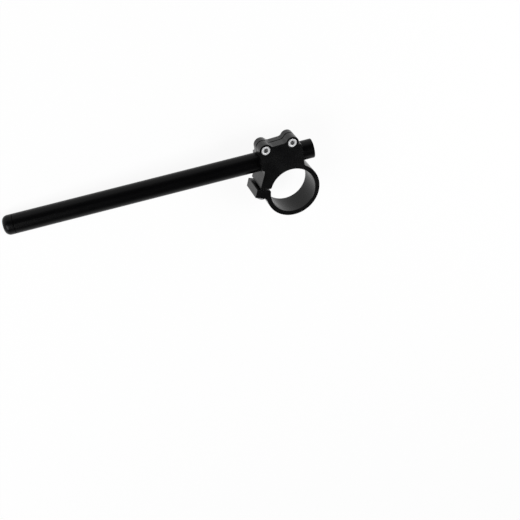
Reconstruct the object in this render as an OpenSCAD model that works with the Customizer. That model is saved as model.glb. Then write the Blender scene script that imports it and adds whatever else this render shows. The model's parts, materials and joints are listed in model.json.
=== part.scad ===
// Clip-on handlebar, left-hand side, in millimetres.
// Origin: centre of the fork bore at half the height of the fork ring.
// +Z runs up the fork, -X is outward along the bar, +Y is from the fork towards the bar.

/* [Fork ring] */
// Bore for the fork tube, diameter
fork_bore_d = 54; // [48:0.5:58]
// Wall of the fork ring
ring_wall = 5.4; // [4:0.1:6.5]
// Height of the fork ring
ring_h = 32; // [30:0.5:40]
// Chamfer at both mouths of the fork bore
bore_chamfer = 0.3; // [0.2:0.1:1]
// Direction of the fork slit round the ring, in degrees from +X
slit_angle = 158.7; // [154:0.1:163]
// Width of the fork slit
fork_slit_w = 2.1; // [1:0.1:3]
// Rounding of the two corners where the slit meets the bore
slit_corner_r = 2; // [1:0.1:2.5]

/* [Pinch ear and leg] */
// Thickness of the pinch ear, across the slit
ear_t = 10; // [9:0.1:11]
// Distance of the ear's end from the fork axis
ear_end = 44; // [42.5:0.1:46]
// Fillet between the ear and the ring
ear_fillet_r = 8; // [4:0.5:10]
// Height above the fork axis line where the leg starts to flare
leg_flare_y = 31.8; // [30:0.1:33]
// Angle of the flared wall of the leg
leg_flare = 23.7; // [20:0.1:27]
// Concave rounding at the top of the flare
leg_arc_r = 14; // [10:0.5:16]

/* [Bar clamp] */
// Distance between the fork axis and the bar axis, along Y
bar_y = 39.4; // [39:0.1:42]
// Depth of the bar axis below the top face, above the fork axis
bar_depth = 14.3; // [13.5:0.1:15]
// Droop of the bar towards its outer end, in degrees
bar_droop = 5; // [0:0.5:6]
// Inner side of the clamp block, distance from the fork axis
block_in = 17.7; // [16:0.1:22]
// Step between the block's outer side and the leg
leg_step = 2.1; // [1:0.1:2.5]
// Fillet between the block's inner side and the fork ring
inner_fillet_r = 3.5; // [2:0.5:5]
// Length of the two lugs beyond the bar axis, up to the screw row
screw_row = 19.6; // [19:0.1:22]
// Radius of the two lobes round the screws
lobe_r = 7.6; // [7.4:0.1:9]
// Front edge between the lobes, beyond the bar axis
web_row = 22.1; // [20:0.1:24]
// Concave rounding beside each lobe
web_fillet_r = 4.5; // [3:0.5:5]
// Height of the square inner corner beyond the bar axis
shoulder_row = 16; // [14:0.5:18]
// Rounding of the inner corner
shoulder_r = 3; // [1:0.5:3.5]
// Depth of the middle of the bar slit below the top face
bar_slit_depth = 12; // [11:0.1:13]
// Width of the bar slit
bar_slit_w = 1.6; // [1:0.1:2.4]
// Depth of the lugs' rear face below the top face
lug_depth = 20.5; // [20.4:0.1:22]
// Depth of the clamp's rear face below the top face
rear_depth = 29.8; // [29.5:0.1:31]
// Rounding of the rear corner behind the bar
rear_corner_r = 8; // [6:0.5:8.5]
// Rear wall behind the bar, beyond the bar axis
rear_wall_row = 12.6; // [12.5:0.1:14]
// Concave rounding between the rear wall and the lugs
rear_fillet_r = 4; // [2:0.5:5]
// Y where the full height of the leg ends and its rear step starts
step_y = 18; // [16:0.5:20]
// Concave rounding of the rear step
step_r = 8; // [4:0.5:10]

/* [Bar] */
// Outside diameter of the bar tube
bar_d = 22.2; // [22:0.1:22.5]
// Wall of the bar tube
bar_wall = 3; // [2:0.1:4]
// Outer end of the tube, from the fork axis along the bar
tube_out = 308.5; // [200:0.5:340]
// Inner end of the tube, from the fork axis along the bar
tube_in = 33; // [26:0.5:45]
// Chamfer on both ends of the tube
tube_chamfer = 0.6; // [0.2:0.1:1]

/* [End plug] */
// Length of the plug's cap
plug_cap_h = 11.5; // [10:0.5:16]
// Rounding of the cap's rim
plug_round_r = 6.5; // [3:0.5:8]
// Length of the shank inside the tube
plug_shank_h = 16; // [8:0.5:30]
// Chamfer on the end of the shank
plug_chamfer = 1; // [0.3:0.1:2]

/* [Screws] */
// Thread diameter of the four screws
screw_d = 6; // [5.8:0.1:6.2]
// Head diameter
head_d = 10; // [9.6:0.1:10.6]
// Head height
head_h = 6; // [5.5:0.1:6]
// Chamfer of the head's rim
head_chamfer = 0.5; // [0.2:0.1:0.8]
// Hexagon socket, across flats
hex_af = 5; // [4:0.5:5]
// Depth of the hexagon socket
hex_depth = 3; // [2:0.5:4]
// Chamfer on the tip of the thread
tip_chamfer = 0.8; // [0.4:0.1:1]
// Shank length of the bar-clamp screws
bar_screw_l = 13; // [12:0.5:14]
// Shank length of the pinch screws
pinch_screw_l = 18; // [16:0.5:20]
// Distance of the outer bar-clamp screw from the fork axis, outward
bar_screw_out = 24.5; // [22:0.1:25]
// Distance of the inner bar-clamp screw from the fork axis, inward
bar_screw_in = 7; // [5:0.1:8]
// Depth of the bar-clamp counterbores
bar_cbore_h = 6.3; // [6:0.1:6.8]
// Distance of the pinch screws from the fork axis, along the slit
pinch_row = 34.8; // [34.5:0.1:36]
// Distance of each pinch screw from the nearer end face of the ring
pinch_edge = 7.5; // [7.2:0.1:8.5]
// Depth of the pinch counterbores
pinch_cbore_h = 3; // [2.5:0.1:4]
// Depth of the blind threaded holes in the leg
pinch_thread_h = 12; // [11:0.1:13]

/* [Clearances] */
// Clearance round the bar in its clamp, all round
bar_gap = 0.03; // [0.01:0.01:0.1]
// Clearance round the plug's shank in the tube
plug_gap = 0.05; // [0.02:0.01:0.2]
// Clearance round the screw heads in their counterbores
head_gap = 0.2; // [0.1:0.05:0.4]
// Clearance round the shanks in the plain holes
hole_gap = 0.3; // [0.1:0.05:0.5]
// Clearance round the threads in the threaded holes
thread_gap = 0.05; // [0.02:0.01:0.15]

/* [Hidden] */
$fn = 96;
// cuts run this far past a face
over = 1;
// overlap that joins touching solids
join = 0.02;
bore_r = fork_bore_d / 2;
ring_r = bore_r + ring_wall;
top_z = ring_h / 2;
bottom_z = -ring_h / 2;
bar_z = top_z - bar_depth;
lug_z = top_z - lug_depth;
rear_z = top_z - rear_depth;
screw_y = bar_y + screw_row;
web_y = bar_y + web_row;
shoulder_y = bar_y + shoulder_row;
front_y = screw_y + lobe_r;
ear_y = fork_slit_w + ear_t;
// centre of the fillet between ear and ring
ear_fillet_y = ear_y + ear_fillet_r;
ear_fillet_s = sqrt(pow(ring_r + ear_fillet_r, 2) - pow(ear_fillet_y, 2));
// x offset between a lobe and the centre of its concave rounding
web_dx = sqrt(pow(lobe_r + web_fillet_r, 2) - pow(web_y + web_fillet_r - screw_y, 2));
// centre of the fillet between block and ring
inner_fillet_x = block_in + inner_fillet_r;
inner_fillet_y = sqrt(pow(ring_r + inner_fillet_r, 2) - pow(inner_fillet_x, 2));
// outer wall of the leg: straight, then an arc, then the flare
block_out = bar_screw_out + lobe_r;
leg_x = block_out - leg_step;
leg_tangent = leg_arc_r * tan(leg_flare / 2);
// the flared wall runs to the middle of the slit
leg_start_t = leg_flare_y * -cos(slit_angle) - leg_x * sin(slit_angle);
leg_fall = sin(leg_flare) * sin(slit_angle) - cos(leg_flare) * cos(slit_angle);
leg_len = (leg_start_t + fork_slit_w / 2) / leg_fall;
leg_end_x = leg_x + leg_len * sin(leg_flare);
leg_end_y = leg_flare_y - leg_len * cos(leg_flare);
// centre of the rounded rear corner, and of the fillet beside it
rear_corner_y = bar_y + rear_wall_row - rear_corner_r;
rear_corner_z = rear_z + rear_corner_r;
rear_fillet_z = lug_z - rear_fillet_r;
rear_sum = rear_corner_r + rear_fillet_r;
rear_fillet_y = rear_corner_y + sqrt(pow(rear_sum, 2) - pow(rear_corner_z - rear_fillet_z, 2));
// height and run of the rear step
step_h = rear_z - bottom_z;
step_run = sqrt(pow(step_r, 2) - pow(step_r - step_h, 2));
// a width that spans the whole clamp
span = 2 * (ear_end + block_out);

// local z along the bar, outward, from the point nearest the fork axis
module on_bar() {
    translate([0, bar_y, bar_z]) rotate([0, -(90 + bar_droop), 0]) children();
}

// local x along the slit, y from the leg to the ear
module on_slit() {
    rotate([0, 0, slit_angle]) children();
}

// local z along a pinch screw, from the leg's slit face towards the head
module on_pinch(z) {
    on_slit() translate([pinch_row, 0, z]) rotate([-90, 0, 0]) children();
}

// socket head screw: shank down from z = 0, head up from it
module socket_screw(shank) {
    difference() {
        union() {
            cylinder(h = head_h - head_chamfer, d = head_d);
            translate([0, 0, head_h - head_chamfer])
                cylinder(h = head_chamfer, d1 = head_d, d2 = head_d - 2 * head_chamfer);
            translate([0, 0, tip_chamfer - shank]) cylinder(h = shank, d = screw_d);
            translate([0, 0, -shank])
                cylinder(h = tip_chamfer, d1 = screw_d - 2 * tip_chamfer, d2 = screw_d);
        }
        translate([0, 0, head_h - hex_depth])
            cylinder(h = hex_depth + over, d = hex_af / cos(30), $fn = 6);
    }
}

// outline of a lobe with the concave rounding on one side
module lobe(x, side) {
    translate([x, screw_y]) circle(r = lobe_r);
    translate([x, screw_y]) difference() {
        polygon([[0, 0], [side * web_dx, web_y + web_fillet_r - screw_y],
                 [side * web_dx, shoulder_y - screw_y], [0, shoulder_y - screw_y]]);
        translate([side * web_dx, web_y + web_fillet_r - screw_y]) circle(r = web_fillet_r);
    }
}

// outline of the leg between the block and the slit
module leg_plan() {
    polygon([[0, 0], [0, leg_flare_y + leg_tangent], [-leg_x, leg_flare_y + leg_tangent],
             [-leg_x, leg_flare_y], [-leg_end_x, leg_end_y]]);
    difference() {
        polygon([[-leg_x, leg_flare_y + leg_tangent], [-leg_x + join, leg_flare_y],
                 [-leg_x - leg_tangent * sin(leg_flare), leg_flare_y - leg_tangent * cos(leg_flare)],
                 [-leg_x - leg_arc_r, leg_flare_y + leg_tangent]]);
        translate([-leg_x - leg_arc_r, leg_flare_y + leg_tangent]) circle(r = leg_arc_r);
    }
}

// outline of the ear, in slit coordinates
module ear_plan() {
    translate([bore_r, fork_slit_w / 2]) square([ear_end - bore_r, ear_y - fork_slit_w / 2]);
    difference() {
        polygon([[bore_r, 0], [ear_fillet_s, 0], [ear_fillet_s, ear_fillet_y],
                 [ear_fillet_s * bore_r / (ring_r + ear_fillet_r),
                  ear_fillet_y * bore_r / (ring_r + ear_fillet_r)]]);
        translate([ear_fillet_s, ear_fillet_y]) circle(r = ear_fillet_r);
    }
}

// outline of the bar clamp block with its two lobes
module block_plan() {
    lobe(-bar_screw_out, 1);
    lobe(bar_screw_in, -1);
    translate([-bar_screw_out, bar_y]) square([bar_screw_out + bar_screw_in, web_row]);
    // outer side, rounded above the leg
    translate([-leg_x, leg_flare_y]) square([leg_x, shoulder_y - leg_flare_y]);
    translate([-block_out, leg_flare_y + leg_tangent + leg_step])
        square([block_out, screw_y - leg_flare_y - leg_tangent - leg_step]);
    translate([-leg_x, leg_flare_y + leg_tangent + leg_step]) circle(r = leg_step);
    // inner side with its rounded shoulder
    square([block_in, shoulder_y - shoulder_r]);
    square([block_in - shoulder_r, shoulder_y]);
    translate([block_in - shoulder_r, shoulder_y - shoulder_r]) circle(r = shoulder_r);
    difference() {
        polygon([[0, 0], [block_in, inner_fillet_y], [inner_fillet_x, inner_fillet_y]]);
        translate([inner_fillet_x, inner_fillet_y]) circle(r = inner_fillet_r);
    }
}

// whole outline seen from above
module clamp_plan() {
    circle(r = ring_r);
    block_plan();
    leg_plan();
    on_slit() ear_plan();
}

// side view of the clamp: x is Y, y is Z
module clamp_section() {
    translate([-span, lug_z]) square([span + front_y + over, top_z - lug_z]);
    translate([-span, rear_z]) square([span + rear_corner_y, top_z - rear_z]);
    translate([rear_corner_y, rear_corner_z])
        square([rear_corner_r, top_z - rear_corner_z]);
    translate([rear_corner_y, rear_corner_z]) circle(r = rear_corner_r);
    difference() {
        polygon([[rear_corner_y, rear_corner_z], [rear_fillet_y, rear_fillet_z],
                 [rear_fillet_y, lug_z + join], [rear_corner_y, lug_z + join]]);
        translate([rear_fillet_y, rear_fillet_z]) circle(r = rear_fillet_r);
    }
    translate([-span, bottom_z]) square([span + step_y, ring_h]);
    difference() {
        translate([step_y - join, bottom_z]) square([step_run + join, step_h + join]);
        translate([step_y + step_run, rear_z - step_r]) circle(r = step_r);
    }
}

// small fillet round the ring where it stands below the clamp's rear face
module ring_foot() {
    rotate_extrude() difference() {
        translate([ring_r - join, bottom_z]) square([step_h + join, step_h + join]);
        translate([ring_r + step_h, bottom_z]) circle(r = step_h);
    }
}

module clamp_solid() {
    intersection() {
        translate([0, 0, bottom_z]) linear_extrude(ring_h) clamp_plan();
        rotate([90, 0, 90]) linear_extrude(span, center = true) clamp_section();
    }
    translate([0, 0, bottom_z]) cylinder(h = ring_h, r = ring_r);
    intersection() {
        translate([0, 0, bottom_z]) linear_extrude(ring_h) block_plan();
        ring_foot();
    }
}

module fork_bore() {
    translate([0, 0, bottom_z - over]) cylinder(h = ring_h + 2 * over, r = bore_r);
    translate([0, 0, top_z - bore_chamfer])
        cylinder(h = bore_chamfer + over, r1 = bore_r, r2 = bore_r + bore_chamfer + over);
    translate([0, 0, bottom_z - over])
        cylinder(h = bore_chamfer + over, r1 = bore_r + bore_chamfer + over, r2 = bore_r);
}

// rounds one corner between slit and bore; y is the slit face, side points into the metal
module slit_corner(y, side) {
    cy = y + side * slit_corner_r;
    cx = sqrt(pow(bore_r + slit_corner_r, 2) - pow(cy, 2));
    k = bore_r / (bore_r + slit_corner_r) * 0.98;
    difference() {
        polygon([[cx * k, y - side * join], [cx, y - side * join], [cx, cy], [cx * k, cy * k]]);
        translate([cx, cy]) circle(r = slit_corner_r);
    }
}

module fork_slit() {
    on_slit() translate([0, 0, bottom_z - over]) linear_extrude(ring_h + 2 * over) {
        translate([bore_r / 2, 0]) square([span, fork_slit_w]);
        slit_corner(0, -1);
        slit_corner(fork_slit_w, 1);
    }
}

module bar_clamp_cuts() {
    on_bar() translate([0, 0, -span / 2]) cylinder(h = span, r = bar_d / 2 + bar_gap);
    translate([-span / 2, bar_y, top_z - bar_slit_depth - bar_slit_w / 2])
        cube([span, screw_row + lobe_r + over, bar_slit_w]);
    for (x = [-bar_screw_out, bar_screw_in]) {
        translate([x, screw_y, top_z - bar_cbore_h])
            cylinder(h = bar_cbore_h + over, d = head_d + 2 * head_gap);
        translate([x, screw_y, top_z - bar_slit_depth])
            cylinder(h = bar_slit_depth, d = screw_d + 2 * hole_gap);
        translate([x, screw_y, lug_z - over])
            cylinder(h = lug_depth, d = screw_d + 2 * thread_gap);
    }
}

module pinch_cuts(z) {
    on_pinch(z) {
        translate([0, 0, ear_y - pinch_cbore_h])
            cylinder(h = ear_fillet_r + over, d = head_d + 2 * head_gap);
        translate([0, 0, fork_slit_w / 2])
            cylinder(h = ear_y, d = screw_d + 2 * hole_gap);
        translate([0, 0, -pinch_thread_h])
            cylinder(h = pinch_thread_h + over, d = screw_d + 2 * thread_gap);
    }
}

module clamp_body() {
    color([0.05, 0.05, 0.055]) difference() {
        clamp_solid();
        fork_bore();
        fork_slit();
        bar_clamp_cuts();
        pinch_cuts(top_z - pinch_edge);
        pinch_cuts(bottom_z + pinch_edge);
    }
}

module bar_tube() {
    color([0.04, 0.04, 0.045]) on_bar() difference() {
        union() {
            translate([0, 0, tube_chamfer - tube_in])
                cylinder(h = tube_in + tube_out - 2 * tube_chamfer, d = bar_d);
            translate([0, 0, -tube_in])
                cylinder(h = tube_chamfer, d1 = bar_d - 2 * tube_chamfer, d2 = bar_d);
            translate([0, 0, tube_out - tube_chamfer])
                cylinder(h = tube_chamfer, d1 = bar_d, d2 = bar_d - 2 * tube_chamfer);
        }
        translate([0, 0, -tube_in - over])
            cylinder(h = tube_in + tube_out + 2 * over, d = bar_d - 2 * bar_wall);
    }
}

module bar_end_plug() {
    shank_r = bar_d / 2 - bar_wall - plug_gap;
    color([0.07, 0.07, 0.075]) on_bar() translate([0, 0, tube_out]) {
        rotate_extrude() {
            square([bar_d / 2, plug_cap_h - plug_round_r]);
            square([bar_d / 2 - plug_round_r, plug_cap_h]);
            translate([bar_d / 2 - plug_round_r, plug_cap_h - plug_round_r]) intersection() {
                circle(r = plug_round_r);
                square(plug_round_r);
            }
        }
        translate([0, 0, plug_chamfer - plug_shank_h])
            cylinder(h = plug_shank_h, r = shank_r);
        translate([0, 0, -plug_shank_h])
            cylinder(h = plug_chamfer, r1 = shank_r - plug_chamfer, r2 = shank_r);
    }
}

module bar_clamp_screw(x) {
    color([0.8, 0.8, 0.8]) translate([x, screw_y, top_z - bar_cbore_h])
        socket_screw(bar_screw_l);
}

module bar_clamp_screw_outer() {
    bar_clamp_screw(-bar_screw_out);
}

module bar_clamp_screw_inner() {
    bar_clamp_screw(bar_screw_in);
}

module fork_pinch_screw(z) {
    color([0.8, 0.8, 0.8]) on_pinch(z) translate([0, 0, ear_y - pinch_cbore_h])
        socket_screw(pinch_screw_l);
}

module fork_pinch_screw_upper() {
    fork_pinch_screw(top_z - pinch_edge);
}

module fork_pinch_screw_lower() {
    fork_pinch_screw(bottom_z + pinch_edge);
}

clamp_body();
bar_tube();
bar_end_plug();
bar_clamp_screw_outer();
bar_clamp_screw_inner();
fork_pinch_screw_upper();
fork_pinch_screw_lower();
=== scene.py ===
"""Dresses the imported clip-on handlebar: rounded clamp body, detailed socket screws, finishes and stage.

All sizes are in metres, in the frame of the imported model: the origin is the centre of the fork bore,
+Z runs up the fork, -X is outward along the bar and +Y is from the fork towards the bar.
"""

import json
import math

import bpy
from mathutils import Matrix, Vector

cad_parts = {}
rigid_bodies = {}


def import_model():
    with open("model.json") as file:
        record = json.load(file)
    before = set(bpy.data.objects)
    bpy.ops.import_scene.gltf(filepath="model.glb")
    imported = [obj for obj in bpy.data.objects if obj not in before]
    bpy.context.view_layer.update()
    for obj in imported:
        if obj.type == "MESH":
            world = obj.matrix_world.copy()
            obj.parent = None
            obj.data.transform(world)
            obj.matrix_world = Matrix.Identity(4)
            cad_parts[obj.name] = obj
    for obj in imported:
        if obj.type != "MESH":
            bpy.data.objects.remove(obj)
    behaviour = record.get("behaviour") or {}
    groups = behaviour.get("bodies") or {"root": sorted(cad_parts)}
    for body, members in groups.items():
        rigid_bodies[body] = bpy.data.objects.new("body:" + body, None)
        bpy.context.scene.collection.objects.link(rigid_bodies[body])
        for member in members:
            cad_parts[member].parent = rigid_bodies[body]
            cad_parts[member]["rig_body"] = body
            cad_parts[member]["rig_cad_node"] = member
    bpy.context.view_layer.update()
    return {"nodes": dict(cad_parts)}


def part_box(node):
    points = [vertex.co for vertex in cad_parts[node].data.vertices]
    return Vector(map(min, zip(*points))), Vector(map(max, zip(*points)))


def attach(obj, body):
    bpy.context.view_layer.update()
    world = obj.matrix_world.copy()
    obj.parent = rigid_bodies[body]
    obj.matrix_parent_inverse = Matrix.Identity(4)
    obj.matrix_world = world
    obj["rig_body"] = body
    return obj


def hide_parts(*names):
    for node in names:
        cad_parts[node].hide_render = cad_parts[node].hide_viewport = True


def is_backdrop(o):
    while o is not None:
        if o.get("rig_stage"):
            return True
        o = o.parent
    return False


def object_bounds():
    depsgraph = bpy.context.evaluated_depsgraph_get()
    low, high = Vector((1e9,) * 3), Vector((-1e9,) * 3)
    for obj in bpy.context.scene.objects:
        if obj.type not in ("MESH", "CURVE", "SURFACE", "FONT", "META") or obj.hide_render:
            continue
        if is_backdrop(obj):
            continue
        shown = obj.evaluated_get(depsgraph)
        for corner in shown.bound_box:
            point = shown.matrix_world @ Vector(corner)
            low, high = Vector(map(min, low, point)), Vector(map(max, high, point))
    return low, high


bl_info = {
    "name": "Clip-on Handlebar",
    "version": (1, 0, 0),
    "blender": (4, 5, 0),
    "location": "View3D > Sidebar > Clip-on",
    "description": "Builds the finished pieces of a clip-on handlebar around its packed model",
    "category": "Object",
}

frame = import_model()
NODES = frame["nodes"]

MM = 0.001
SAME_POINT = 0.002 * MM  # points closer than this are merged
SHORT_EDGE = 0.06 * MM  # and so are the ends of edges shorter than this, in the clamp body
IN_LINE = 0.01 * MM  # points this close in a coordinate count as level or as upright
FLAT = math.radians(0.3)  # faces that meet at less than this are one flat face

# where the bar bore runs out of the clamp body's lower end, with too little room to round the edge
CROWDED = ((-6.0 * MM, 31.8 * MM, -15.9 * MM), (18.8 * MM, 26.4 * MM, -15.9 * MM))
CROWDED_REACH = 3 * MM

# the socket screws' shape beside their settings; the thread's form is in shares of the pitch
CREST_GAP = 0.01 * MM  # by which the crests stay inside the thread's outside diameter
THREAD_DEPTH = 0.61
CREST_END, ROOT_START, ROOT_END = 0.12, 0.45, 0.67  # along one turn
LAST_CREST_END = 0.3
POINT_LENGTH, POINT_STEP = 0.8 * MM, 0.2 * MM  # the shank's chamfered end, and its step in below the roots
NECK = 1.2 * MM  # the turns of the thread end before this distance from the head
NECK_TOP = 0.3 * MM
HEAD_FOOT = ((0, 0.4 * MM), (0.25 * MM, 0.05 * MM), (0.6 * MM, 0))  # height, and step in from the side
KNURL_START = 0.9 * MM  # above the seat
KNURL_END, KNURL_RUNOUT = 1.4 * MM, 1.1 * MM  # below the head's top
RIM_STEPS = 4
MOUTH_CHAMFER = 0.25 * MM
SOCKET_CONE, SOCKET_TIP = 0.8 * MM, 0.4 * MM  # cone at the socket floor: height, and radius of its end
TOP_ZONE = 0.1 * MM  # faces that come this close to the head's top are part of it
SOCKET_ZONE = 1.5 * MM  # faces that stay this far in from the head's side are the socket's

# part of a noise pattern's range over which a colour or a roughness changes
PATTERN_START, PATTERN_END = 0.3, 0.7

# the camera's axes and place, found from the ring, the bar and the screws of the photograph
CAMERA_RIGHT = (0.935033, -0.145291, 0.323424)
CAMERA_UP = (0.302847, 0.801636, -0.515425)
CAMERA_BACK = (-0.184382, 0.579888, 0.793558)
CAMERA_PLACE = (-0.243471, 0.518902, 0.835151)

LAMP_AIM = (-0.12, 0.03, 0)

# grey tones of the studio, each with the height of the direction in which it stands
OPEN_SIDE = ((0.06, 1), (0.2, 0.35), (0.5, 0.09), (0.75, 0.03))
WALL_SIDE = ((0.06, 1), (0.45, 0.75), (0.62, 0.3), (0.75, 0.03))
WALL_START, WALL_END = -0.35, -0.65  # directions along Y between which the studio turns to its pale wall

FLOOR_WHITE = 0.9
FADE_START, FADE_END = 0.5, 2.0  # distances between which the lit floor fades out
# painted shade: the gloss-only darkening of the floor under the ring ends between these distances
SHADE_START, SHADE_END = 12 * MM, 32 * MM  # distances between which the shade under the ring ends


class ClampSettings(bpy.types.PropertyGroup):
    edge_round: bpy.props.FloatProperty(
        name="Edge rounding", description="Rounding of the clamp body's upright corners and flat ends",
        default=0.2 * MM, min=0.05 * MM, max=0.2 * MM, unit="LENGTH")
    edge_angle: bpy.props.FloatProperty(
        name="Edge angle", description="Edges sharper than this are rounded",
        default=math.radians(50), subtype="ANGLE")
    colour: bpy.props.FloatVectorProperty(
        name="Anodised colour", description="Colour of the anodised clamp body",
        default=(0.0016, 0.0016, 0.0018), size=3, min=0, max=1, subtype="COLOR")
    roughness: bpy.props.FloatProperty(
        name="Roughness", description="Roughness of the satin anodised surface", default=0.25, min=0, max=1)
    gloss: bpy.props.FloatProperty(
        name="Gloss", description="Strength of the surface's reflections", default=0.3, min=0, max=1)


class BarSettings(bpy.types.PropertyGroup):
    droop: bpy.props.FloatProperty(
        name="Droop", description="Angle by which the bar falls towards its outer end",
        default=math.radians(5), subtype="ANGLE")
    tube_colour: bpy.props.FloatVectorProperty(
        name="Tube colour", description="Colour of the bar tube",
        default=(0.001, 0.001, 0.0012), size=3, min=0, max=1, subtype="COLOR")
    tube_roughness: bpy.props.FloatProperty(
        name="Tube roughness", description="Roughness of the bar tube", default=0.28, min=0, max=1)
    gloss: bpy.props.FloatProperty(
        name="Gloss", description="Strength of the reflections of tube and plug",
        default=0.12, min=0, max=1)
    plug_colour: bpy.props.FloatVectorProperty(
        name="Plug colour", description="Colour of the end plug",
        default=(0.0012, 0.0012, 0.0014), size=3, min=0, max=1, subtype="COLOR")
    plug_roughness: bpy.props.FloatProperty(
        name="Plug roughness", description="Roughness of the end plug", default=0.3, min=0, max=1)


class ScrewSettings(bpy.types.PropertyGroup):
    sides: bpy.props.IntProperty(
        name="Sides", description="Points round a screw; two for each knurl of the head",
        default=72, min=24, max=144)
    head_d: bpy.props.FloatProperty(
        name="Head diameter", description="Diameter of the socket head", default=10 * MM, unit="LENGTH")
    head_h: bpy.props.FloatProperty(
        name="Head height", description="Height of the socket head", default=6 * MM, unit="LENGTH")
    rim: bpy.props.FloatProperty(
        name="Rim rounding", description="Rounding of the head's upper rim",
        default=0.2 * MM, unit="LENGTH")
    knurl: bpy.props.FloatProperty(
        name="Knurl depth", description="Depth of the straight knurl round the head",
        default=0.12 * MM, unit="LENGTH")
    hex_af: bpy.props.FloatProperty(
        name="Hexagon", description="Socket size across flats", default=5 * MM, unit="LENGTH")
    hex_depth: bpy.props.FloatProperty(
        name="Socket depth", description="Depth of the hexagon socket", default=3 * MM, unit="LENGTH")
    thread_d: bpy.props.FloatProperty(
        name="Thread diameter", description="Outside diameter of the thread", default=6 * MM, unit="LENGTH")
    pitch: bpy.props.FloatProperty(
        name="Pitch", description="Distance between the thread's crests", default=1.0 * MM, unit="LENGTH")
    bar_shank: bpy.props.FloatProperty(
        name="Bar-clamp shank", description="Shank length of the bar-clamp screws",
        default=13 * MM, unit="LENGTH")
    pinch_shank: bpy.props.FloatProperty(
        name="Pinch shank", description="Shank length of the pinch screws",
        default=18 * MM, unit="LENGTH")
    slit_angle: bpy.props.FloatProperty(
        name="Slit angle", description="Direction of the fork slit round the ring",
        default=math.radians(158.7), subtype="ANGLE")
    pinch_row: bpy.props.FloatProperty(
        name="Pinch row", description="Distance of the pinch screws from the fork axis",
        default=34.8 * MM, unit="LENGTH")
    pinch_seat: bpy.props.FloatProperty(
        name="Pinch seat", description="Distance of the heads' seats from the leg's slit face",
        default=9.1 * MM, unit="LENGTH")
    colour: bpy.props.FloatVectorProperty(
        name="Zinc colour", description="Colour of the zinc plating",
        default=(0.62, 0.625, 0.63), size=3, min=0, max=1, subtype="COLOR")
    roughness: bpy.props.FloatProperty(
        name="Zinc roughness", description="Roughness of the zinc plating", default=0.45, min=0, max=1)
    metal: bpy.props.FloatProperty(
        name="Metal share", description="How far the chalky zinc layer reflects as bare metal",
        default=0.4, min=0, max=1)
    # painted shade: the knurl's colour is darker for dirt in the knurl and for the shade on the sides of
    # the head
    knurl_dirt_and_shade_colour: bpy.props.FloatVectorProperty(
        name="Knurl colour", description="Colour of the dull zinc in the knurl and the thread",
        default=(0.24, 0.24, 0.245), size=3, min=0, max=1, subtype="COLOR")
    # painted shade: the socket's colour is dark for the shade in the recess as well as for oil and dust
    socket_oil_and_shade_colour: bpy.props.FloatVectorProperty(
        name="Socket colour", description="Colour of the oiled inside of the hexagon socket",
        default=(0.11, 0.11, 0.112), size=3, min=0, max=1, subtype="COLOR")


class StageSettings(bpy.types.PropertyGroup):
    lens: bpy.props.FloatProperty(
        name="Focal length", description="Focal length on a 36 mm sensor, in millimetres", default=60.231)
    floor_gap: bpy.props.FloatProperty(
        name="Floor gap", description="Space between the floor and the lowest point",
        default=0.3 * MM, unit="LENGTH")
    floor_size: bpy.props.FloatProperty(
        name="Floor size", description="Side of the floor", default=14.0, unit="LENGTH")
    shadow: bpy.props.FloatProperty(
        name="Shadow", description="Share of the lit floor in what is seen of it",
        default=0.08, min=0, max=1)
    # painted shade: the floor under the fork ring is darkened for gloss, in place of the ring's shadow
    ring_shade: bpy.props.FloatProperty(
        name="Ring shade", description="How much darker gloss sees the floor under the fork ring",
        default=0.35, min=0, max=1)
    lamp_power: bpy.props.FloatProperty(
        name="Lamp power", description="Power of each of the two lamps, in watts", default=17.0)
    lamp_size: bpy.props.FloatProperty(
        name="Lamp size", description="Side of each lamp", default=1.0, unit="LENGTH")
    lamp_side: bpy.props.FloatProperty(
        name="Lamp distance", description="Distance of each lamp from the middle, along the bar",
        default=1.1, unit="LENGTH")
    lamp_height: bpy.props.FloatProperty(
        name="Lamp height", description="Height of the lamps above the bar", default=1.1, unit="LENGTH")


def alone(piece):
    """Leaves one piece selected and active, in object mode."""
    if bpy.context.mode != "OBJECT":
        bpy.ops.object.mode_set(mode="OBJECT")
    bpy.ops.object.select_all(action="DESELECT")
    piece.select_set(True)
    bpy.context.view_layer.objects.active = piece


def apply_modifiers(piece):
    """Applies every modifier of a piece, in order."""
    alone(piece)
    for name in [m.name for m in piece.modifiers]:
        bpy.ops.object.modifier_apply(modifier=name)


def settle(piece, place):
    """Moves a piece to its place and leaves its object at the origin."""
    alone(piece)
    piece.matrix_world = place
    bpy.ops.object.transform_apply(location=True, rotation=True, scale=True)


def cad_copy(node, name):
    """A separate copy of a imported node, with its loose triangles merged."""
    piece = NODES[node].copy()
    piece.data = NODES[node].data.copy()
    piece.name = piece.data.name = name
    piece.parent = None
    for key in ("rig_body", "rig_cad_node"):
        if key in piece:
            del piece[key]
    bpy.context.scene.collection.objects.link(piece)
    alone(piece)
    bpy.ops.object.mode_set(mode="EDIT")
    bpy.ops.mesh.select_all(action="SELECT")
    bpy.ops.mesh.customdata_custom_splitnormals_clear()
    bpy.ops.mesh.remove_doubles(threshold=SAME_POINT)
    bpy.ops.mesh.dissolve_limited(angle_limit=FLAT, use_dissolve_boundaries=False)
    bpy.ops.mesh.remove_doubles(threshold=SHORT_EDGE)
    bpy.ops.object.mode_set(mode="OBJECT")
    return piece


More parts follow.
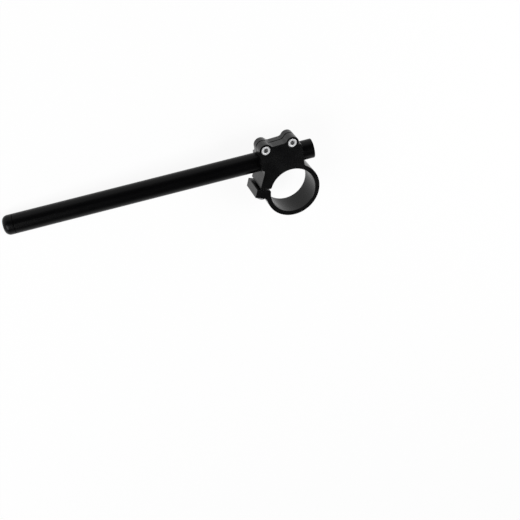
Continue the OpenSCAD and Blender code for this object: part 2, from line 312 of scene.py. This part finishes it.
def round_edges(piece, width, sharp, chosen):
    """Rounds the sharp edges of a piece that are chosen by their two ends."""
    alone(piece)
    bpy.ops.object.mode_set(mode="EDIT")
    bpy.ops.mesh.select_mode(type="EDGE")
    bpy.ops.mesh.select_all(action="DESELECT")
    bpy.ops.mesh.edges_select_sharp(sharpness=sharp)
    bpy.ops.object.mode_set(mode="OBJECT")
    points = piece.data.vertices
    for edge in piece.data.edges:
        if edge.select:
            edge.select = chosen(*(points[i].co for i in edge.vertices))
    if not any(edge.select for edge in piece.data.edges):
        raise RuntimeError(f"{piece.name} has no edge to round")
    bpy.ops.object.mode_set(mode="EDIT")
    bpy.ops.mesh.bevel(offset=width, segments=2, clamp_overlap=False, miter_outer="ARC")
    bpy.ops.mesh.select_mode(type="VERT")
    bpy.ops.mesh.select_all(action="SELECT")
    bpy.ops.mesh.remove_doubles(threshold=SAME_POINT)
    bpy.ops.mesh.dissolve_degenerate(threshold=SAME_POINT)
    bpy.ops.object.mode_set(mode="OBJECT")


def hex_radius(angle, across_flats):
    """Distance from the centre to the side of a hexagon, in a direction."""
    sector = math.radians(60)
    return across_flats / 2 / math.cos((angle + sector / 2) % sector - sector / 2)


def turned(name, rings, sides):
    """A turned solid: a disc extruded ring by ring along Z, each ring (height, radius of an angle)."""
    height, radius = rings[0]
    bpy.ops.object.select_all(action="DESELECT")
    bpy.ops.mesh.primitive_circle_add(vertices=sides, radius=1.0, fill_type="NGON", location=(0, 0, 0))
    piece = bpy.context.object
    piece.name = piece.data.name = name
    shape_ring(piece, height, radius)
    for height, radius in rings[1:]:
        bpy.ops.object.mode_set(mode="EDIT")
        bpy.ops.mesh.extrude_region_move()
        bpy.ops.object.mode_set(mode="OBJECT")
        shape_ring(piece, height, radius)
    # close the first disc, and turn the normals outwards
    bpy.ops.object.mode_set(mode="EDIT")
    bpy.ops.mesh.select_all(action="DESELECT")
    bpy.ops.mesh.select_mode(type="EDGE")
    bpy.ops.mesh.select_non_manifold(
        extend=False, use_wire=False, use_multi_face=False, use_non_contiguous=False)
    bpy.ops.mesh.edge_face_add()
    bpy.ops.mesh.select_mode(type="VERT")
    bpy.ops.mesh.select_all(action="SELECT")
    bpy.ops.mesh.normals_make_consistent(inside=False)
    bpy.ops.object.mode_set(mode="OBJECT")
    return piece


def shape_ring(piece, height, radius):
    """Places the selected ring of points at a height, each at the radius for its direction."""
    for v in piece.data.vertices:
        if v.select:
            angle = math.atan2(v.co.y, v.co.x)
            r = radius(angle)
            v.co = (r * math.cos(angle), r * math.sin(angle), height)


def round_rim(radius, height, r, steps):
    """Rings of a rim rounded by r, from its side to its top."""
    rings = []
    for i in range(steps + 1):
        a = math.pi / 2 * i / steps
        rings.append((height - r + r * math.sin(a), radius - r + r * math.cos(a)))
    return rings


def smooth(piece, degrees):
    """Smooth shading, with edges sharper than the angle kept."""
    alone(piece)
    bpy.ops.object.shade_smooth_by_angle(angle=math.radians(degrees))


def finish_piece(piece, node, material):
    """Gives a new piece its material and its body, and hides the node that it stands for."""
    piece.data.materials.clear()
    piece.data.materials.append(material)
    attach(piece, "root")
    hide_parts(node)


def dress_node(node, material):
    """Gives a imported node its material."""
    slots = NODES[node].material_slots
    if not slots:
        raise RuntimeError(f"{node} has no material slot")
    for slot in slots:
        slot.material = material


class Tree:
    """A node tree under construction, emptied first, with short ways to add and join its nodes."""

    def __init__(self, tree):
        self.nodes, self.links = tree.nodes, tree.links
        self.nodes.clear()

    def add(self, kind, **inputs):
        """A new node of a kind, with the inputs named set to numbers or joined to outputs."""
        node = self.nodes.new(kind)
        for name, value in inputs.items():
            self.put(node.inputs[name.replace("_", " ")], value)
        return node

    def put(self, socket, value):
        """Joins an output to a socket, or sets the socket to a plain value."""
        if isinstance(value, bpy.types.NodeSocket):
            self.links.new(value, socket)
        else:
            socket.default_value = value

    def mapped(self, value, start, end, low, high):
        """Maps the range from start to end to the range from low to high."""
        node = self.add("ShaderNodeMapRange", Value=value,
                        From_Min=start, From_Max=end, To_Min=low, To_Max=high)
        return node.outputs["Result"]

    def calc(self, operation, first, second):
        """The result of a sum on two values."""
        node = self.add("ShaderNodeMath")
        node.operation = operation
        self.put(node.inputs[0], first)
        self.put(node.inputs[1], second)
        return node.outputs[0]


class Finish(Tree):
    """A material of the part, on object coordinates."""

    def __init__(self, name):
        self.material = bpy.data.materials.new(name)
        self.material.use_nodes = True
        super().__init__(self.material.node_tree)
        self.shader = self.add("ShaderNodeBsdfPrincipled")
        self.add("ShaderNodeOutputMaterial", Surface=self.shader.outputs["BSDF"])
        self.coords = self.add("ShaderNodeTexCoord").outputs["Object"]

    def noise(self, scale, detail, turn=(0, 0, 0), stretch=(1, 1, 1)):
        """A noise pattern; scale is in patterns per metre."""
        place = self.add("ShaderNodeMapping", Vector=self.coords, Rotation=turn, Scale=stretch)
        pattern = self.add("ShaderNodeTexNoise", Vector=place.outputs["Vector"], Scale=scale, Detail=detail)
        return pattern.outputs["Fac"]

    def tint(self, value, colour, dark, light):
        """A colour that runs from a dark to a light share of itself with a pattern."""
        ramp = self.add("ShaderNodeValToRGB", Fac=value)
        tones = ((PATTERN_START, dark), (PATTERN_END, light))
        for stop, (place, share) in zip(ramp.color_ramp.elements, tones):
            stop.color = (*(c * share for c in colour), 1)
            stop.position = place
        self.put(self.shader.inputs["Base Color"], ramp.outputs["Color"])

    def roughen(self, value, low, high):
        """A roughness that runs from low to high with a pattern."""
        self.put(self.shader.inputs["Roughness"], self.mapped(value, PATTERN_START, PATTERN_END, low, high))

    def bump(self, value, depth, strength):
        """Adds relief; depth is the pattern's height in metres."""
        node = self.add("ShaderNodeBump", Height=value, Distance=depth, Strength=strength)
        self.put(self.shader.inputs["Normal"], node.outputs["Normal"])

    def uniform(self, name, value):
        """Sets an input of the shader that is the same all over."""
        self.shader.inputs[name].default_value = value


def anodised_clamp(settings):
    """Satin black anodising over a bead-blasted surface."""
    f = Finish("clamp_black_anodised")
    cloud = f.noise(scale=55, detail=3)
    grain = f.noise(scale=2600, detail=2)
    f.tint(cloud, settings.colour, dark=0.85, light=1.2)
    f.roughen(cloud, low=settings.roughness - 0.03, high=settings.roughness + 0.05)
    f.bump(grain, depth=0.006 * MM, strength=0.3)
    f.uniform("Specular IOR Level", settings.gloss)
    return f.material


def anodised_tube(settings):
    """Semi-gloss black anodising over fine drawing lines along the tube."""
    f = Finish("bar_black")
    lines = f.noise(scale=1800, detail=3, turn=(0, -settings.droop, 0), stretch=(0.02, 1, 1))
    cloud = f.noise(scale=40, detail=2)
    f.tint(cloud, settings.tube_colour, dark=0.85, light=1.2)
    f.roughen(lines, low=settings.tube_roughness - 0.03, high=settings.tube_roughness + 0.05)
    f.bump(lines, depth=0.003 * MM, strength=0.4)
    f.uniform("Specular IOR Level", settings.gloss)
    return f.material


def moulded_plug(settings):
    """Satin moulded cap with a faint grain."""
    f = Finish("plug_black")
    grain = f.noise(scale=1500, detail=3)
    f.tint(grain, settings.plug_colour, dark=0.85, light=1.2)
    f.roughen(grain, low=settings.plug_roughness - 0.04, high=settings.plug_roughness + 0.06)
    f.bump(grain, depth=0.01 * MM, strength=0.5)
    f.uniform("Specular IOR Level", settings.gloss)
    return f.material


def bright_zinc(settings):
    """Bright zinc plating with the soft mottling of the passivated layer."""
    f = Finish("screw_zinc")
    cloud = f.noise(scale=420, detail=3)
    grain = f.noise(scale=4200, detail=2)
    f.tint(cloud, settings.colour, dark=0.93, light=1.05)
    f.roughen(cloud, low=settings.roughness - 0.05, high=settings.roughness + 0.06)
    f.bump(grain, depth=0.004 * MM, strength=0.4)
    f.uniform("Metallic", settings.metal)
    return f.material


def knurl_dirt_and_shade(settings):
    """Dull zinc with dirt between the teeth of the knurl, and painted shade on the sides of the head."""
    f = Finish("screw_knurl")
    dirt = f.noise(scale=1800, detail=3)
    # a darker zinc: dirt in the knurl, and painted shade on the head's sides
    f.tint(dirt, settings.knurl_dirt_and_shade_colour, dark=0.6, light=1.3)
    f.roughen(dirt, low=0.42, high=0.58)
    f.bump(dirt, depth=0.01 * MM, strength=0.5)
    f.uniform("Metallic", settings.metal)
    return f.material


def socket_oil_and_shade(settings):
    """The inside of the hexagon socket, dark with oil and dust and with painted shade of the recess."""
    f = Finish("screw_socket")
    grime = f.noise(scale=1400, detail=3)
    # painted shade of the recess, over the tone of oil and dust
    f.tint(grime, settings.socket_oil_and_shade_colour, dark=0.7, light=1.3)
    f.roughen(grime, low=0.45, high=0.6)
    f.bump(grime, depth=0.01 * MM, strength=0.4)
    return f.material


class CLIPON_OT_clamp_body(bpy.types.Operator):
    """Rounds the edges of the clamp body and anodises it"""
    bl_idname = "clipon.clamp_body"
    bl_label = "Clamp body"

    def execute(self, context):
        s = context.scene.clipon_clamp
        piece = cad_copy("clamp_body", "clamp_body_finished")
        low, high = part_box("clamp_body")

        def chosen(a, b):
            upright = (a.xy - b.xy).length < IN_LINE and abs(a.z - b.z) > MM
            in_end = any(abs(a.z - z) < IN_LINE and abs(b.z - z) < IN_LINE for z in (low.z, high.z))
            clear = all(((a + b) / 2 - Vector(place)).length > CROWDED_REACH for place in CROWDED)
            return upright or (in_end and clear)

        round_edges(piece, s.edge_round, s.edge_angle, chosen)
        smooth(piece, degrees=30)
        weighted = piece.modifiers.new("flat faces", "WEIGHTED_NORMAL")
        weighted.keep_sharp = True
        apply_modifiers(piece)
        finish_piece(piece, "clamp_body", anodised_clamp(s))
        return {"FINISHED"}


class CLIPON_OT_bar(bpy.types.Operator):
    """Finishes the bar tube and its end plug"""
    bl_idname = "clipon.bar"
    bl_label = "Bar and end plug"

    def execute(self, context):
        s = context.scene.clipon_bar
        dress_node("bar_tube", anodised_tube(s))
        dress_node("bar_end_plug", moulded_plug(s))
        return {"FINISHED"}


def socket_screw(name, shank, s):
    """A socket head screw: threaded shank down from z = 0, knurled head up from it."""
    major = s.thread_d / 2 - CREST_GAP
    minor = major - THREAD_DEPTH * s.pitch
    head = s.head_d / 2
    top = s.head_h
    floor = top - s.hex_depth
    even = math.tau / s.sides

    def plain(r):
        return lambda angle: r

    def knurled(angle):
        return head - (s.knurl if round(angle / even) % 2 else 0.0)

    def hexagon(angle):
        return hex_radius(angle, s.hex_af)

    # the chamfered end, the thread's crests and roots, and the neck under the head
    z = -shank + POINT_LENGTH
    rings = [(-shank, plain(minor - POINT_STEP)), (z, plain(major))]
    while z + s.pitch < -NECK:
        rings += [(z + CREST_END * s.pitch, plain(major)), (z + ROOT_START * s.pitch, plain(minor)),
                  (z + ROOT_END * s.pitch, plain(minor)), (z + s.pitch, plain(major))]
        z += s.pitch
    rings += [(z + LAST_CREST_END * s.pitch, plain(major)), (-NECK_TOP, plain(major)), (0, plain(major))]
    # the head's seat and foot, the knurl and the rim
    rings += [(h, plain(head - step)) for h, step in HEAD_FOOT]
    rings += [(KNURL_START, knurled), (top - KNURL_END, knurled), (top - KNURL_RUNOUT, plain(head))]
    rings += [(h, plain(r)) for h, r in round_rim(head, top, s.rim, RIM_STEPS)]
    # the socket's chamfered mouth, its sides and the cone at its floor
    mouth = hex_radius(math.radians(30), s.hex_af) + MOUTH_CHAMFER
    rings += [(top, plain(mouth)), (top - MOUTH_CHAMFER, hexagon),
              (floor + SOCKET_CONE, hexagon), (floor, plain(SOCKET_TIP))]
    piece = turned(name, rings, s.sides)
    smooth(piece, degrees=34)
    return piece


def screw_area(polygon, model, head_d, head_h):
    """A face's finish: 0 on top of the head, 1 in its socket, 2 on the knurl and the thread."""
    points = [model.data.vertices[i].co for i in polygon.vertices]
    height = max(p.z for p in points)
    reach = max(math.hypot(p.x, p.y) for p in points)
    if height < head_h - TOP_ZONE:
        return 1 if height > 0 and reach < head_d / 2 - SOCKET_ZONE else 2
    return 0


class CLIPON_OT_screws(bpy.types.Operator):
    """Models the four socket head screws and puts them in place"""
    bl_idname = "clipon.screws"
    bl_label = "Screws"

    def execute(self, context):
        s = context.scene.clipon_screw
        self.head_d, self.head_h = s.head_d, s.head_h
        finishes = (bright_zinc(s), socket_oil_and_shade(s), knurl_dirt_and_shade(s))
        bar_screw = socket_screw("bar_screw_model", s.bar_shank, s)
        pinch_screw = socket_screw("pinch_screw_model", s.pinch_shank, s)
        for node in ("bar_clamp_screw_outer", "bar_clamp_screw_inner"):
            low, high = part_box(node)
            middle = (low + high) / 2
            seat = Vector((middle.x, middle.y, high.z - s.head_h))
            self.place(bar_screw, node, Matrix.Translation(seat), finishes)
        along = Matrix.Rotation(s.slit_angle, 4, "Z")
        for node in ("fork_pinch_screw_upper", "fork_pinch_screw_lower"):
            low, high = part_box(node)
            level = (low.z + high.z) / 2
            seat = Matrix.Translation((s.pinch_row, s.pinch_seat, level))
            self.place(pinch_screw, node, along @ seat @ Matrix.Rotation(-math.pi / 2, 4, "X"), finishes)
        for model in (bar_screw, pinch_screw):
            bpy.data.objects.remove(model)
        return {"FINISHED"}

    def place(self, model, node, place, finishes):
        """Copies a screw, with its own mesh, to the place of a packed screw."""
        piece = model.copy()
        piece.data = model.data.copy()
        piece.name = piece.data.name = node + "_finished"
        bpy.context.scene.collection.objects.link(piece)
        areas = [screw_area(polygon, piece, self.head_d, self.head_h) for polygon in piece.data.polygons]
        settle(piece, place)
        finish_piece(piece, node, finishes[0])
        for material in finishes[1:]:
            piece.data.materials.append(material)
        for polygon, area in zip(piece.data.polygons, areas):
            polygon.material_index = area


def sky_ramp(tree, height, steps):
    """The studio's grey for the height of a direction."""
    ramp = tree.add("ShaderNodeValToRGB", Fac=height)
    stops = ramp.color_ramp.elements
    for stop, (place, grey) in zip((stops[0], stops[-1]), (steps[0], steps[-1])):
        stop.position = place
        stop.color = (grey, grey, grey, 1)
    for place, grey in steps[1:-1]:
        stops.new(place).color = (grey, grey, grey, 1)
    return ramp.outputs["Color"]


def studio_world():
    """A plain studio: white at the floor's edge, dark above, with a pale wall on the fork's side."""
    world = bpy.data.worlds.new("studio")
    bpy.context.scene.world = world
    world.use_nodes = True
    tree = Tree(world.node_tree)
    direction = tree.add("ShaderNodeTexCoord").outputs["Generated"]
    split = tree.add("ShaderNodeSeparateXYZ", Vector=direction).outputs
    open_side = sky_ramp(tree, split["Z"], OPEN_SIDE)
    wall_side = sky_ramp(tree, split["Z"], WALL_SIDE)
    turn = tree.mapped(split["Y"], WALL_START, WALL_END, 0.0, 1.0)
    mix = tree.add("ShaderNodeMixRGB", Fac=turn, Color1=open_side, Color2=wall_side)
    light = tree.add("ShaderNodeBackground", Color=mix.outputs["Color"], Strength=1.0)
    tree.add("ShaderNodeOutputWorld", Surface=light.outputs["Background"])


def floor_material(shadow, ring_shade):
    """White to the camera, to gloss and through glass, with a share of the lit floor for the shadow and a
    painted shade under the ring for gloss.
    """
    material = bpy.data.materials.new("stage_floor")
    material.use_nodes = True
    tree = Tree(material.node_tree)
    path = tree.add("ShaderNodeLightPath").outputs
    seen = path["Is Camera Ray"]
    for name in ("Is Glossy Ray", "Is Transmission Ray"):
        seen = tree.calc("MAXIMUM", seen, path[name])
    away = tree.add("ShaderNodeVectorMath")
    away.operation = "LENGTH"
    tree.put(away.inputs[0], tree.add("ShaderNodeTexCoord").outputs["Object"])
    distance = away.outputs["Value"]
    # the share of the lit floor fades out far from the object
    share = tree.calc("MULTIPLY", seen, tree.mapped(distance, FADE_START, FADE_END, 1 - shadow, 1.0))
    # painted shade: gloss sees the floor under the fork ring darker, standing in for the ring's shadow
    shade = tree.mapped(distance, SHADE_START, SHADE_END, ring_shade, 0.0)
    strength = tree.calc("SUBTRACT", 1.0, tree.calc("MULTIPLY", path["Is Glossy Ray"], shade))
    lit = tree.add("ShaderNodeBsdfDiffuse", Color=(FLOOR_WHITE, FLOOR_WHITE, FLOOR_WHITE, 1))
    white = tree.add("ShaderNodeEmission", Color=(1, 1, 1, 1), Strength=strength)
    mix = tree.add("ShaderNodeMixShader", Fac=share)
    tree.put(mix.inputs[1], lit.outputs["BSDF"])
    tree.put(mix.inputs[2], white.outputs["Emission"])
    tree.add("ShaderNodeOutputMaterial", Surface=mix.outputs["Shader"])
    return material


class CLIPON_OT_stage(bpy.types.Operator):
    """Sets up the floor, the lamps, the studio and the camera"""
    bl_idname = "clipon.stage"
    bl_label = "Stage"

    def execute(self, context):
        s = context.scene.clipon_stage
        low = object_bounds()[0]
        bpy.ops.object.select_all(action="DESELECT")
        bpy.ops.mesh.primitive_plane_add(size=s.floor_size, location=(0, 0, low[2] - s.floor_gap))
        floor = context.object
        floor.name = "floor"
        floor.data.materials.append(floor_material(s.shadow, s.ring_shade))
        floor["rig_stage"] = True
        studio_world()
        aim = Vector(LAMP_AIM)
        for name, side in (("lamp_outer", -1), ("lamp_inner", 1)):
            place = aim + Vector((side * s.lamp_side, 0, s.lamp_height))
            self.lamp(name, s.lamp_power, s.lamp_size, place, aim)
        data = bpy.data.cameras.new("camera")
        data.sensor_width = 36
        data.lens = s.lens
        camera = bpy.data.objects.new("camera", data)
        context.scene.collection.objects.link(camera)
        turn = Matrix((CAMERA_RIGHT, CAMERA_UP, CAMERA_BACK)).transposed().to_4x4()
        camera.matrix_world = Matrix.Translation(CAMERA_PLACE) @ turn
        context.scene.camera = camera
        context.scene.view_settings.view_transform = "Standard"
        return {"FINISHED"}

    def lamp(self, name, power, size, place, aim):
        """A square lamp at a place, turned to a point."""
        data = bpy.data.lights.new(name, "AREA")
        data.energy = power
        data.size = size
        lamp = bpy.data.objects.new(name, data)
        bpy.context.scene.collection.objects.link(lamp)
        lamp.location = place
        lamp.rotation_euler = (aim - place).to_track_quat("-Z", "Y").to_euler()


class CLIPON_PT_pieces(bpy.types.Panel):
    bl_label = "Clip-on handlebar"
    bl_idname = "CLIPON_PT_pieces"
    bl_space_type = "VIEW_3D"
    bl_region_type = "UI"
    bl_category = "Clip-on"

    def draw(self, context):
        scene = context.scene
        rows = (("clipon.clamp_body", scene.clipon_clamp), ("clipon.bar", scene.clipon_bar),
                ("clipon.screws", scene.clipon_screw), ("clipon.stage", scene.clipon_stage))
        for operator, group in rows:
            box = self.layout.box()
            box.operator(operator)
            for name in group.__annotations__:
                box.prop(group, name)


CLASSES = (ClampSettings, BarSettings, ScrewSettings, StageSettings,
           CLIPON_OT_clamp_body, CLIPON_OT_bar, CLIPON_OT_screws, CLIPON_OT_stage, CLIPON_PT_pieces)
GROUPS = {"clipon_clamp": ClampSettings, "clipon_bar": BarSettings,
          "clipon_screw": ScrewSettings, "clipon_stage": StageSettings}


def register():
    for cls in CLASSES:
        bpy.utils.register_class(cls)
    for name, group in GROUPS.items():
        setattr(bpy.types.Scene, name, bpy.props.PointerProperty(type=group))


def unregister():
    for name in GROUPS:
        delattr(bpy.types.Scene, name)
    for cls in reversed(CLASSES):
        bpy.utils.unregister_class(cls)


def main():
    register()
    bpy.ops.clipon.clamp_body()
    bpy.ops.clipon.bar()
    bpy.ops.clipon.screws()
    bpy.ops.clipon.stage()


if __name__ == "__main__":
    main()
